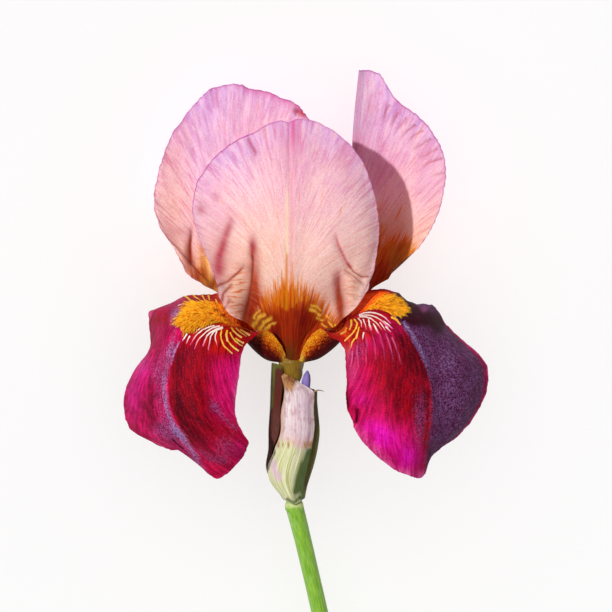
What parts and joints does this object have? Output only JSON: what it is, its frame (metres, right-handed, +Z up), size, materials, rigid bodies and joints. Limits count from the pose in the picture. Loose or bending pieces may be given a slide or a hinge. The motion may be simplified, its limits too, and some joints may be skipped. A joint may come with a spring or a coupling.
{
  "type": "bearded iris flower",
  "caption": "Open bearded iris bloom on a short cut stem, laid on its back: lilac upright petals, velvety crimson hanging petals with orange beards, papery bract at the neck.",
  "frame": {"origin": "centre of the bounding box's bottom face, on the surface the flower lies on", "axes": "+Y from the cut end of the stem towards the tops of the upright petals, +X to the right in a front view of the bloom, +Z up, out of the bloom's front"},
  "size_m": [0.1448, 0.3046, 0.0891],
  "materials": {
    "standard_petal": "satin",
    "fall_petal": "matte",
    "beard": "matte",
    "style_arm": "satin",
    "stamen": "matte",
    "flower_tube": "satin",
    "papery_bract": "matte",
    "green_bract": "satin",
    "side_bud": "satin",
    "stem": "satin"
  },
  "bodies": {
    "root": {"standard_front": "standard_petal", "standard_back_left": "standard_petal", "standard_back_right": "standard_petal", "fall_front_left": "fall_petal", "fall_front_right": "fall_petal", "fall_back": "fall_petal", "beard_front_left": "beard", "beard_front_right": "beard", "beard_back": "beard", "style_arm_left": "style_arm", "style_arm_right": "style_arm", "style_arm_back": "style_arm", "stamen_left": "stamen", "stamen_right": "stamen", "stamen_back": "stamen", "ovary_and_tube": "flower_tube", "spathe_front": "papery_bract", "spathe_back": "green_bract", "side_bud": "side_bud", "stem": "stem"}
  },
  "joints": []
}
